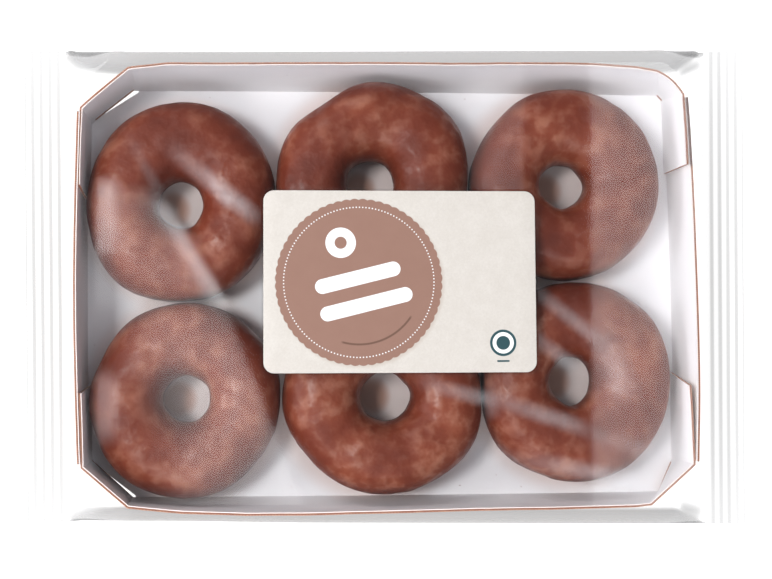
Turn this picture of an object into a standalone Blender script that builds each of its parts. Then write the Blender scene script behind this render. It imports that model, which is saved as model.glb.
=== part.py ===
"""Box of ring doughnuts in a clear flow wrap.

A low corrugated board tray with clipped corners holds six cocoa-glazed ring
doughnuts in two rows of three. A clear film sleeve goes round the tray and is
crimped flat at both ends, and a plain paper label lies on top of the film.

Frame: metres, +Z up, X along the length of the pack, Y across it. The origin
is on the ground, under the middle of the pack.
"""

import math
import random

import bmesh
import bpy
from mathutils import Vector

MM = 0.001
GAP = 0.3 * MM                      # clearance kept between pieces that touch

# Film wrap
WRAP_HALF_LENGTH = 161.0 * MM       # middle of the pack to the edge of a crimped end
WRAP_HALF_WIDTH = 105.5 * MM        # middle of the pack to the widest line of the film
WRAP_HEIGHT = 42.9 * MM
WRAP_WALL = 0.5 * MM
WRAP_WIDE_LEVEL = 28.0 * MM         # height of the widest line beside the tray
WRAP_SPREAD_ALONG = 0.0199          # the pack is this much wider at +X than in the middle
WRAP_SPREAD_ACROSS = 0.0124         # and this much longer at +Y
WRAP_FOOT = 97.4 * MM               # half width of the flat underside
WRAP_SHOULDER = 100.5 * MM          # half width of the flat top
WRAP_ARC_STEPS = 4
CRIMP_LEVEL = 22.0 * MM
CRIMP_WIDTH = 16.0 * MM
CRIMP_THICKNESS = 1.6 * MM
CRIMP_RIBS = 5
CRIMP_RIB_HEIGHT = 0.9 * MM
WRAP_LEFT_EDGE = 139.6 * MM         # where the film leaves the tray's left rim
WRAP_RIGHT_EDGE = 135.4 * MM        # and its right rim
WRAP_CORNER_START = 117.5 * MM      # from here on the top narrows over the clipped corners
WRAP_CORNER_CUT = 17.0 * MM         # by this much at the rim of an end wall
# How full the sleeve is on its way from the rim (share 0) to the crimp (share 1)
WRAP_SLOPE = ((0.0, 1.0), (0.12, 0.94), (0.42, 0.62), (0.74, 0.20), (1.0, 0.0))

# Board tray
BOARD = 1.3 * MM
TRAY_CENTRE = (-2.1 * MM, -1.5 * MM)
TRAY_FLOOR = WRAP_WALL + GAP + BOARD
TRAY_DEPTH = 40.0 * MM
TRAY_SKEW = -0.010                  # the tray stands slightly out of square
FLOOR, RIM = 0, 1                   # the two levels between which the walls stand
# Inner half length and half width at each level, and how far the end walls and
# the long walls bow outwards in their middle
TRAY_HALF_SIZE = ((133.9, 92.6), (133.1, 94.8))
TRAY_BOW = ((0.7, 0.4), (1.4, 1.8))
# Clipped corners: length and width of the cut at the floor and at the rim
CORNER_CUTS = {
    (1, 1): ((3.5, 4.0), (12.5, 11.0)),
    (-1, 1): ((20.5, 16.5), (21.0, 19.4)),
    (-1, -1): ((19.5, 18.0), (20.6, 18.6)),
    (1, -1): ((8.2, 18.0), (20.8, 17.5)),
}
# Glued corner flaps inside the end walls: length at the rim, at the floor, lean of the top
CORNER_FLAPS = {
    (1, 1): (30.0, 33.0, 0.0),
    (-1, 1): (32.0, 35.5, 0.0),
    (-1, -1): (30.0, 32.0, 0.0),
    (1, -1): (33.0, 37.0, 1.6),
}
FLAP_DROP = 0.6 * MM                # top edge of a flap below the rim

# Doughnuts: centre in the tray, width, depth, height, hole width and depth,
# hole offset from the middle, and the seed of the unevenness (all in mm but the seed)
DOUGHNUTS = (
    (-91.3, 39.1, 84.2, 89.6, 33.0, 20.0, 21.1, -0.4, -1.6, 3),
    (-6.0, 48.9, 87.0, 89.8, 34.0, 21.0, 21.4, -0.9, -1.8, 8),
    (81.5, 47.7, 87.2, 88.2, 32.5, 20.3, 19.3, -1.4, -0.9, 13),
    (-89.3, -49.3, 84.4, 86.8, 33.0, 20.2, 20.3, 0.7, 0.5, 21),
    (-2.2, -47.7, 89.4, 88.2, 34.0, 22.2, 21.9, 1.4, -0.3, 34),
    (85.6, -41.8, 86.2, 90.4, 32.0, 19.0, 21.2, -2.7, 0.0, 55),
)
# Dents (less than 0) and bulges of each outline: direction in degrees from +X, size in mm
BULGES = (
    ((236, 2.4), (196, 1.0)),
    ((148, -2.8), (28, 2.2)),
    ((143, -2.3), (90, 0.5)),
    ((148, -1.5), (320, -1.2)),
    ((222, -1.4), (328, 2.0)),
    ((48, 1.4), (212, 1.2)),
)
BULGE_SPREAD = 22.0                 # degrees from a bulge's middle to where it fades
RING_STEPS = 36
SECTION_STEPS = 13
WAVE_ORDERS = (3, 4, 5, 7)          # waves per turn that make the outlines uneven
OUTER_UNEVENNESS = 0.02             # strength of these waves, as a share of the radius
HOLE_UNEVENNESS = 0.06
CROWN_UNEVENNESS = 0.06
HOLE_SEED = 100                     # added to a doughnut's seed for its hole
CROWN_SEED = 200                    # and for its crown
CROWN_LIMIT = 1.02                  # no crown rises higher, as a share of the height
WIDEST_LEVEL = 0.47                 # height of the widest line, as a share of the height
FOOT_SHARE = 0.80                   # width of the flat foot, as a share of the ring's width
FOOT_DROP = 1.18                    # more than 1 flattens the underside into a foot
LEVEL_POWER = 0.90                  # below 1 makes the section's round fuller upwards
REACH_POWER = 0.82                  # and sideways

# Label
LABEL_SIZE = (118.5 * MM, 79.2 * MM)
LABEL_CENTRE = (2.4 * MM, 0.0)
LABEL_CORNER = 4.6 * MM
LABEL_THICKNESS = 0.4 * MM
LABEL_CORNER_STEPS = 6

# Finishes: linear colour, roughness and opacity
FILM = ((0.86, 0.87, 0.88), 0.12, 0.25)
WHITE_BOARD = ((0.76, 0.73, 0.73), 0.75, 1.0)
COCOA_GLAZE = ((0.19, 0.055, 0.028), 0.38, 1.0)
CREAM_PAPER = ((0.82, 0.77, 0.70), 0.60, 1.0)


def clear_scene():
    for obj in list(bpy.data.objects):
        bpy.data.objects.remove(obj, do_unlink=True)


def make_collection(name):
    collection = bpy.data.collections.new(name)
    bpy.context.scene.collection.children.link(collection)
    return collection


def make_material(name, finish):
    colour, roughness, alpha = finish
    material = bpy.data.materials.new(name)
    material.use_nodes = True
    shader = material.node_tree.nodes["Principled BSDF"]
    shader.inputs["Base Color"].default_value = (*colour, 1.0)
    shader.inputs["Roughness"].default_value = roughness
    shader.inputs["Metallic"].default_value = 0.0
    shader.inputs["Alpha"].default_value = alpha
    return material


def make_object(name, mesh, material, collection):
    mesh.materials.append(material)
    obj = bpy.data.objects.new(name, mesh)
    collection.objects.link(obj)
    return obj


def mesh_from_bmesh(name, bm):
    bmesh.ops.recalc_face_normals(bm, faces=bm.faces)
    mesh = bpy.data.meshes.new(name)
    bm.to_mesh(mesh)
    bm.free()
    return mesh


def bridge(bm, ring_a, ring_b):
    """Closes the band between two rings of as many vertices."""
    count = len(ring_a)
    for i in range(count):
        j = (i + 1) % count
        bm.faces.new((ring_a[i], ring_a[j], ring_b[j], ring_b[i]))


# ---------------------------------------------------------------- film wrap

def wrap_outline(half_width, foot, shoulder, low, wide, high):
    """One cross section of the film, as (y, z) points that start under the middle.

    The underside and the top are flat, and each side is two quarters of an
    ellipse that meet at the widest line.
    """
    side = []
    for step in range(WRAP_ARC_STEPS):
        turn = 0.5 * math.pi * step / WRAP_ARC_STEPS
        side.append((foot + (half_width - foot) * math.sin(turn),
                     wide - (wide - low) * math.cos(turn)))
    for step in range(WRAP_ARC_STEPS + 1):
        turn = 0.5 * math.pi * step / WRAP_ARC_STEPS
        side.append((shoulder + (half_width - shoulder) * math.cos(turn),
                     wide + (high - wide) * math.sin(turn)))
    mirrored = [(-y, z) for y, z in reversed(side)]
    return [(0.0, low)] + side + [(0.0, high)] + mirrored


def wrap_stations():
    """Places along X: how full the sleeve is, how far its top narrows, and the rib's lift."""
    stations = [(0.0, 1.0, 0.0, 0.0)]
    inner = WRAP_HALF_LENGTH - CRIMP_WIDTH
    for sign, edge in ((-1, WRAP_LEFT_EDGE), (1, WRAP_RIGHT_EDGE)):
        stations.append((sign * 0.5 * WRAP_CORNER_START, 1.0, 0.0, 0.0))
        stations.append((sign * WRAP_CORNER_START, 1.0, 0.0, 0.0))
        for share, full in WRAP_SLOPE:
            along = sign * (edge + (inner - edge) * share)
            stations.append((along, full, full * WRAP_CORNER_CUT, 0.0))
        half_ribs = 2 * CRIMP_RIBS
        for step in range(1, half_ribs + 1):
            along = sign * (inner + CRIMP_WIDTH * step / half_ribs)
            lift = 0.5 * CRIMP_RIB_HEIGHT * (1 if step % 2 else -1)
            stations.append((along, 0.0, 0.0, lift))
    return sorted(stations)


def wrap_ring(bm, station, inset):
    """The vertices of the film's face at a station, moved inwards by the inset."""
    along, full, cut, lift = station
    half_crimp = 0.5 * CRIMP_THICKNESS
    level = CRIMP_LEVEL + lift
    low = (1 - full) * (level - half_crimp) + inset
    high = full * WRAP_HEIGHT + (1 - full) * (level + half_crimp) - inset
    wide = full * WRAP_WIDE_LEVEL + (1 - full) * level
    points = wrap_outline(WRAP_HALF_WIDTH - inset, WRAP_FOOT - inset,
                          WRAP_SHOULDER - cut - inset, low, wide, high)
    ring = []
    for across, up in points:
        x = along * (1 + WRAP_SPREAD_ACROSS * across / WRAP_HALF_WIDTH)
        y = across * (1 + WRAP_SPREAD_ALONG * along / WRAP_HALF_LENGTH)
        ring.append(bm.verts.new((x, y, up)))
    return ring


def make_wrap(collection, material):
    """A sleeve of film, open only as a hairline between the two layers of each crimp."""
    bm = bmesh.new()
    stations = wrap_stations()
    skins = [[wrap_ring(bm, station, inset) for station in stations]
             for inset in (0.0, WRAP_WALL)]
    for rings in skins:
        for ring_a, ring_b in zip(rings, rings[1:]):
            bridge(bm, ring_a, ring_b)
    for end in (0, -1):
        bridge(bm, skins[0][end], skins[1][end])
    return make_object("film_wrap", mesh_from_bmesh("film_wrap", bm), material, collection)


# ---------------------------------------------------------------- board tray

def tray_outline(level):
    """Inner outline of the tray at its floor or rim, with its four clipped corners.

    A point in the middle of each side carries the bow of the wall.
    """
    half_length, half_width = (size * MM for size in TRAY_HALF_SIZE[level])
    end_bow, long_bow = (size * MM for size in TRAY_BOW[level])
    points = []
    for sx, sy in ((1, 1), (-1, 1), (-1, -1), (1, -1)):
        cut_x, cut_y = (size * MM for size in CORNER_CUTS[sx, sy][level])
        on_end = (sx * half_length, sy * (half_width - cut_y))
        on_long = (sx * (half_length - cut_x), sy * half_width)
        corner = [on_end, on_long] if sx * sy > 0 else [on_long, on_end]
        points += corner
        if sx * sy > 0:
            points.append((0.0, sy * (half_width + long_bow)))
        else:
            points.append((sx * (half_length + end_bow), 0.0))
    height = TRAY_FLOOR + TRAY_DEPTH * level
    return [Vector((TRAY_CENTRE[0] + x + TRAY_SKEW * y, TRAY_CENTRE[1] + y, height))
            for x, y in points]


def make_tray_shell(collection, material):
    """Floor and walls: an open inner skin, made as thick as the board by Solidify."""
    bm = bmesh.new()
    low = [bm.verts.new(point) for point in tray_outline(FLOOR)]
    high = [bm.verts.new(point) for point in tray_outline(RIM)]
    bm.faces.new(low)
    bridge(bm, low, high)
    bmesh.ops.triangulate(bm, faces=bm.faces)
    mesh = mesh_from_bmesh("tray", bm)
    tray = make_object("tray", mesh, material, collection)
    board = tray.modifiers.new("board", "SOLIDIFY")
    board.thickness = BOARD
    board.offset = 1.0
    board.use_even_offset = True
    return tray


def end_wall_face(sx, across, level):
    """X of an end wall's inner face at a distance across the tray, at floor or rim."""
    half_length, half_width = (size * MM for size in TRAY_HALF_SIZE[level])
    corner = half_width - CORNER_CUTS[sx, 1 if across > 0 else -1][level][1] * MM
    bow = TRAY_BOW[level][0] * MM * (1 - min(abs(across) / corner, 1.0))
    return TRAY_CENTRE[0] + sx * (half_length + bow) + TRAY_SKEW * across


def make_flap(corner, collection, material):
    """One glued corner flap: a plate that reaches half-way into the wall behind it."""
    sx, sy = corner
    rim_length, floor_length, lean = (size * MM for size in CORNER_FLAPS[corner])
    start = min(TRAY_HALF_SIZE[level][1] - CORNER_CUTS[corner][level][1]
                for level in (FLOOR, RIM)) * MM
    foot = TRAY_FLOOR - 0.5 * BOARD
    top = TRAY_FLOOR + TRAY_DEPTH - FLAP_DROP
    bm = bmesh.new()
    rings = []
    for level, height, length, tilt in ((FLOOR, foot, floor_length, 0.0),
                                        (RIM, top, rim_length, lean)):
        ring = []
        for distance, depth in ((0.0, -0.5), (0.0, 1.0), (length, 1.0), (length, -0.5)):
            across = sy * (start - distance)
            inwards = depth * BOARD + tilt * (distance / length) * (depth > 0)
            ring.append(bm.verts.new((end_wall_face(sx, across, level) - sx * inwards,
                                      TRAY_CENTRE[1] + across, height)))
        rings.append(ring)
    bridge(bm, *rings)
    for ring in rings:
        bm.faces.new(ring)
    name = "flap_guide"
    flap = make_object(name, mesh_from_bmesh(name, bm), material, collection)
    flap.hide_render = True
    flap.display_type = "WIRE"
    return flap


def make_tray(parts, guides, material):
    tray = make_tray_shell(parts, material)
    for corner in CORNER_FLAPS:
        join = tray.modifiers.new("flap", "BOOLEAN")
        join.operation = "UNION"
        join.solver = "EXACT"
        join.object = make_flap(corner, guides, material)
    return tray


# ---------------------------------------------------------------- doughnuts

def signed_power(value, power):
    return math.copysign(abs(value) ** power, value)


def uneven_circle(seed, strength):
    """Radius factors round a circle: 1 and a few low waves of chance size and phase."""
    rng = random.Random(seed)
    waves = [(order, strength * rng.uniform(0.4, 1.0) / order, rng.uniform(0, math.tau))
             for order in WAVE_ORDERS]
    factors = []
    for step in range(RING_STEPS):
        turn = math.tau * step / RING_STEPS
        factors.append(1 + sum(size * math.cos(order * turn + phase)
                               for order, size, phase in waves))
    return factors


def bulge_height(turn, bulges):
    """Sum of bell-shaped bulges, in metres, in the direction of an angle."""
    total = 0.0
    for direction, size in bulges:
        apart = (math.degrees(turn) - direction + 180) % 360 - 180
        total += size * MM * math.exp(-(apart / BULGE_SPREAD) ** 2)
    return total


def ring_outline(width, depth, offset, factors, bulges=()):
    """An uneven oval scaled to an exact width and depth about its offset."""
    points = []
    for step, factor in enumerate(factors):
        turn = math.tau * step / RING_STEPS
        radius = factor + 2 * bulge_height(turn, bulges) / width
        points.append([radius * math.cos(turn), radius * math.sin(turn)])
    for axis, size in enumerate((width, depth)):
        low = min(point[axis] for point in points)
        high = max(point[axis] for point in points)
        for point in points:
            point[axis] = ((point[axis] - low) / (high - low) - 0.5) * size + offset[axis]
    return points


def ring_section(height):
    """Section of the ring: (share from the hole to the outside, height) pairs.

    The top is a round crown, and the lower half narrows to a flat foot.
    """
    section = []
    wide = WIDEST_LEVEL * height
    for step in range(SECTION_STEPS):
        turn = math.tau * (step + 0.5) / SECTION_STEPS - 0.5 * math.pi
        level = signed_power(math.sin(turn), LEVEL_POWER)
        reach = signed_power(math.cos(turn), REACH_POWER)
        if level >= 0:
            up = wide + (height - wide) * level
        else:
            up = wide * max(1 + FOOT_DROP * level, 0.0)
            reach *= 1 - (1 - FOOT_SHARE) * (1 - up / wide) ** 2
        section.append((0.5 + 0.5 * reach, up))
    return section


def make_doughnut(number, sizes, collection, material):
    """An uneven ring: each section runs from the hole's outline to the outer one."""
    centre_x, centre_y, width, depth, height, hole_x, hole_y, shift_x, shift_y = (
        size * MM for size in sizes[:-1])
    seed = sizes[-1]
    outer = ring_outline(width, depth, (0.0, 0.0), uneven_circle(seed, OUTER_UNEVENNESS),
                         BULGES[number - 1])
    inner = ring_outline(hole_x, hole_y, (shift_x, shift_y),
                         uneven_circle(seed + HOLE_SEED, HOLE_UNEVENNESS))
    crown = uneven_circle(seed + CROWN_SEED, CROWN_UNEVENNESS)
    bm = bmesh.new()
    rings = []
    for far, near, rise in zip(outer, inner, crown):
        ring = []
        for share, up in ring_section(height):
            x = TRAY_CENTRE[0] + centre_x + near[0] + (far[0] - near[0]) * share
            y = TRAY_CENTRE[1] + centre_y + near[1] + (far[1] - near[1]) * share
            z = TRAY_FLOOR + GAP + up * min(rise, CROWN_LIMIT)
            ring.append(bm.verts.new((x, y, z)))
        rings.append(ring)
    for index, ring in enumerate(rings):
        bridge(bm, ring, rings[(index + 1) % RING_STEPS])
    name = f"doughnut_{number}"
    mesh = mesh_from_bmesh(name, bm)
    mesh.shade_smooth()
    return make_object(name, mesh, material, collection)


# ---------------------------------------------------------------- label

def make_label(collection, material):
    """A rounded rectangle of paper, laid flat just above the film."""
    curve = bpy.data.curves.new("label_outline", "CURVE")
    curve.dimensions = "2D"
    curve.fill_mode = "BOTH"
    curve.extrude = 0.5 * LABEL_THICKNESS
    points = []
    for sx, sy, start in ((1, 1, 0), (-1, 1, 1), (-1, -1, 2), (1, -1, 3)):
        centre_x = sx * (0.5 * LABEL_SIZE[0] - LABEL_CORNER)
        centre_y = sy * (0.5 * LABEL_SIZE[1] - LABEL_CORNER)
        for step in range(LABEL_CORNER_STEPS + 1):
            turn = 0.5 * math.pi * (start + step / LABEL_CORNER_STEPS)
            points.append((centre_x + LABEL_CORNER * math.cos(turn),
                           centre_y + LABEL_CORNER * math.sin(turn), 0.0, 1.0))
    spline = curve.splines.new("POLY")
    spline.points.add(len(points) - 1)
    for target, point in zip(spline.points, points):
        target.co = point
    spline.use_cyclic_u = True
    level = WRAP_HEIGHT + GAP + 0.5 * LABEL_THICKNESS
    label = bpy.data.objects.new("label", curve)
    curve.materials.append(material)
    label.location = (*LABEL_CENTRE, level)
    collection.objects.link(label)
    return label


def main():
    clear_scene()
    parts = make_collection("box_of_doughnuts")
    guides = make_collection("flap_guides")
    film = make_material("clear_film", FILM)
    board = make_material("white_board", WHITE_BOARD)
    paper = make_material("cream_paper", CREAM_PAPER)
    make_wrap(parts, film)
    make_tray(parts, guides, board)
    for number, sizes in enumerate(DOUGHNUTS, start=1):
        glaze = make_material(f"cocoa_glaze_{number}", COCOA_GLAZE)
        make_doughnut(number, sizes, parts, glaze)
    make_label(parts, paper)


main()
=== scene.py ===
"""Looks of a box of ring doughnuts: a board tray, six glazed rings, clear film and a label.

Lengths are in metres unless a name or comment says millimetres (MM turns them into metres).
"""

import math
import random

import bpy
import numpy as np
from mathutils import Matrix, Vector


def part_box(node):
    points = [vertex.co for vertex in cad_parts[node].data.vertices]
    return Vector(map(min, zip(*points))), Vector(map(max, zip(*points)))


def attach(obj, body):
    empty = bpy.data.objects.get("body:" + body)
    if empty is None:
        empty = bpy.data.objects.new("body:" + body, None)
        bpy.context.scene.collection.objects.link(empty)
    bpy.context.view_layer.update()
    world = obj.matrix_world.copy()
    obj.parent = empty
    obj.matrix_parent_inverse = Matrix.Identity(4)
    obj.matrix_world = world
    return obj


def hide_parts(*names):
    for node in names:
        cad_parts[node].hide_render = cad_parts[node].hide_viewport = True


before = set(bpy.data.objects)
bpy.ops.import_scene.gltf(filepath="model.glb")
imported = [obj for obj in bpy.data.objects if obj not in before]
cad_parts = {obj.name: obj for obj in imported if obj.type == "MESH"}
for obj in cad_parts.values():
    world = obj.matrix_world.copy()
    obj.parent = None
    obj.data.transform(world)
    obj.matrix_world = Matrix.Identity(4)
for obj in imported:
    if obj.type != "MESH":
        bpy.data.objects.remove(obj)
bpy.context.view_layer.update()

MM = 0.001
BODY = "root"
RING_NODES = tuple(f"doughnut_{number}" for number in range(1, 7))

# Tray: the inner faces of its walls at the floor and at the rim, as its solid has them
BOARD = 1.3 * MM
TRAY_CENTRE = np.array((-2.1, -1.5)) * MM
TRAY_FLOOR = 2.1 * MM
TRAY_DEPTH = 40.0 * MM
TRAY_SKEW = -0.010
TRAY_HALF_SIZE = ((133.9, 92.6), (133.1, 94.8))
TRAY_BOW = ((0.7, 0.4), (1.4, 1.8))
RIGHT_RIM_BOW = 0.6
# How far a clip cuts into the long wall and into the end wall, at the floor and at the rim
CORNER_CUTS = {
    (1, 1): ((3.5, 4.0), (12.5, 11.0)),
    (-1, 1): ((20.5, 16.5), (21.0, 19.4)),
    (-1, -1): ((19.5, 18.0), (20.6, 18.6)),
    (1, -1): ((8.2, 18.0), (20.8, 17.5)),
}
# Flap lengths at the rim and at the floor, and how far the flap leans in at the rim
CORNER_FLAPS = {
    (1, 1): (30.0, 33.0, 0.0),
    (-1, 1): (32.0, 35.5, 0.0),
    (-1, -1): (30.0, 32.0, 0.0),
    (1, -1): (33.0, 37.0, 1.6),
}
FLAP_DROP = 0.6 * MM
FLAP_GAP = 0.05 * MM
FLOOR_STEPS = 24
# How far the floor stays back from the foot of a clipped corner, at its end wall and its long wall
FLOOR_SLITS = {(1, 1): (0.0, 0.0), (-1, 1): (-0.9, 1.9), (-1, -1): (-1.0, 1.2), (1, -1): (0.0, 0.0)}
# How the long walls' rims leave their even bow: shares of the wall, and millimetres outwards
RIM_SWAY = {
    1: ((0.0, 0.04, 0.14, 0.30, 0.45, 0.60, 0.78, 0.93, 1.0),
        (0.0, 1.1, 1.55, 1.2, 0.3, -0.35, 0.2, 0.8, -0.9)),
    -1: ((0.0, 0.10, 0.22, 0.33, 0.42, 0.60, 0.74, 0.86, 0.97, 1.0),
         (-1.2, 0.75, 1.7, 1.2, 0.35, 0.2, -0.3, 0.0, 0.6, 0.2)),
}
CORNER_BOWS = {(1, 1): 1.3, (-1, 1): 0.2, (-1, -1): 0.0, (1, -1): 0.0}

# Rings: steps round the ring and round its section, then each ring's hole width and depth, hole
# offset from the middle (mm), and the seed of its unevenness
RING_STEPS = 160
SECTION_STEPS = 72
RING_HOLES = (
    (20.0, 21.1, -0.4, -1.6, 3),
    (21.0, 21.4, -0.9, -1.8, 8),
    (20.3, 19.3, -1.4, -0.9, 13),
    (20.2, 20.3, 0.7, 0.5, 21),
    (22.2, 21.9, 1.4, -0.3, 34),
    (19.0, 21.2, -2.7, 0.0, 55),
)
# Bulges of the rings' outlines: directions in degrees and heights in millimetres
BULGES = (
    ((236, 3.0), (200, 1.4)),
    ((123, -3.6), (70, 0.8), (33, 2.6)),
    ((143, -1.5), (90, 0.5)),
    ((148, -1.5), (320, -1.2)),
    ((222, -0.5), (328, 2.0)),
    ((48, 1.4), (214, 2.0)),
)
BULGE_SPREAD = 22.0
WIDEST_LEVEL = 0.47
FOOT_SHARE = 0.80
FOOT_CUT = 1.18
CROWN_POWER = 0.9
BELLY_POWER = 0.82

# Film wrap, as its solid has it
WRAP_HALF_LENGTH = 161.0 * MM
WRAP_HALF_WIDTH = 105.5 * MM
WRAP_HEIGHT = 42.9 * MM
WRAP_WIDE_LEVEL = 28.0 * MM
WRAP_SPREAD_ALONG = 0.0199
WRAP_SPREAD_ACROSS = 0.0124
WRAP_FOOT = 97.4 * MM
WRAP_SHOULDER = 100.5 * MM
CRIMP_LEVEL = 22.0 * MM
CRIMP_WIDTH = 17.6 * MM
CRIMP_PITCH = 3.76 * MM
CRIMP_OUTER_RIB = 161.4 * MM
RIB_HEIGHT = 0.26 * MM
HALF_CRIMP = 0.35 * MM
# How far the film's long edges stay inside its solid's: places along the pack, and millimetres
EDGE_SLACK = {
    1: ((-161, -144, -138, -127, -112, -40, 50, 112, 131, 139, 145, 161),
        (-1.0, -1.0, 0.9, 1.2, 2.2, 2.2, 1.9, 1.8, 1.2, 0.9, -0.2, -0.2)),
    -1: ((-161, -144, -138, -90, -40, 74, 135, 145, 161),
         (0.5, 0.5, 1.4, 1.3, 0.7, 0.5, 0.5, 0.0, 0.0)),
}
WRAP_LEFT_EDGE = 139.6 * MM
WRAP_RIGHT_EDGE = 135.4 * MM
WRAP_CORNER_START = 117.5 * MM
WRAP_CORNER_CUT = 17.0 * MM
# Share of the light that the film throws back where it is seen straight on
FILM_GLOSS = 0.0337

# Label
LABEL_CENTRE = (2.4 * MM, 0.0)
LABEL_SIZE = (118.5 * MM, 79.2 * MM)
LABEL_CORNER = 4.6 * MM
CORNER_STEPS = 12
# How far the label's outlines stay inside its edge, and how high they are (mm)
LABEL_PROFILE = ((0.0, 0.0), (0.0, 0.22), (0.05, 0.30), (0.4, 0.34), (6.0, 0.36), (30.0, 0.36))

# Stage: the table, the sky's levels, and the lamps' places, sizes and watts
TABLE_HALF = 3.0
TABLE_DROP = 0.2 * MM
TABLE_GREY = 0.16
TABLE_GLOW = 1.1
SKY_COLOUR = (0.95, 0.98, 1.07, 1.0)
SKY_LEVELS = {"top": 0.43, "left": 0.86, "right": 0.0, "near": 1.0, "far": 0.25}
LAMP_TARGET = (0.0, 0.0, 0.0)
LAMPS = {
    "key": ((-0.71, 0.02, 1.43), (0.36, 0.36), 12.1),
    "window": ((-1.35, 0.0, 0.46), (0.5, 0.9), 11.5),
    "front": ((-0.30, -0.85, 1.15), (1.2, 0.6), 6.6),
    "back": ((-0.60, 1.00, 0.95), (0.9, 0.6), 4.6),
}

# Boards overhead, the lower the later: where their mirror images lie on the film (mm), the light
# that they add to it there, and the shares over which they fade in from the left, right, near and
# far side. The first is all but dark and keeps the sky's mirror image off the film.
BOARD_HEIGHT = 1.35
BOARD_STEP = 0.01
BOARDS = {
    "calm": (((-134, -102), (134, -102), (134, 102), (-134, 102)), 0.003,
             (0.01, 0.01, 0.01, 0.01)),
    "right": (((84.9, -110), (160, -110), (160, 110), (86.6, 110)), 0.125,
              (0.02, 0.01, 0.01, 0.01)),
    "inner_right": (((30, 30), (56.0, 30), (58.2, 95), (30, 95)), 0.06, (0.4, 0.03, 0.01, 0.01)),
    "left": (((-129, -16), (-68, -16), (-106.5, 45), (-129, 45)), 0.10, (0.03, 0.03, 0.2, 0.2)),
    "left_rim": (((-80, -12), (-70, -12), (-100, 37), (-110, 37)), 0.36, (0.6, 0.08, 0.05, 0.15)),
    "near_left": (((-104, -98), (-38.5, -98), (-75.5, -4), (-129, -4)), 0.13,
                  (0.5, 0.02, 0.02, 0.13)),
    "left_band": (((-128.5, 10), (-116, 10), (-116, 47), (-128.5, 47)), 0.30,
                  (0.10, 0.6, 0.1, 0.2)),
    "near_left_band": (((-128.5, -72), (-117, -72), (-117, -34), (-128.5, -34)), 0.17,
                       (0.15, 0.6, 0.3, 0.3)),
}

# Camera: place (m), lens and sensor (mm), and its turns in degrees, the outer one first
CAMERA_PLACE = (-0.05214, -0.05161, 0.68971)
CAMERA_LENS = 69.95
CAMERA_SENSOR = 36.0
CAMERA_TURNS = (("Y", -4.2671), ("X", 4.2434), ("Z", -0.3534))


# ---------------- shader writing

def operator(operation):
    """A method that adds a Math node to a value and, where the operation takes two, another."""
    return lambda value, *other: value.finish.math(operation, value, *other)


class Value:
    """A number that changes over a surface: a socket whose operators add Math nodes."""

    def __init__(self, finish, socket):
        self.finish = finish
        self.socket = socket

    def __rsub__(self, other):
        return self.finish.math("SUBTRACT", other, self)

    def fade(self, low, high):
        """0 where the number is at low, 1 where it is at high, and smooth between."""
        node = self.finish.node("ShaderNodeMapRange", {"interpolation_type": "SMOOTHSTEP"},
                                {"Value": self, "From Min": low, "From Max": high})
        return Value(self.finish, node.outputs[0])

    __add__ = __radd__ = operator("ADD")
    __sub__ = operator("SUBTRACT")
    __mul__ = __rmul__ = operator("MULTIPLY")
    __truediv__ = operator("DIVIDE")
    __abs__ = operator("ABSOLUTE")
    larger = operator("MAXIMUM")


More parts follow.
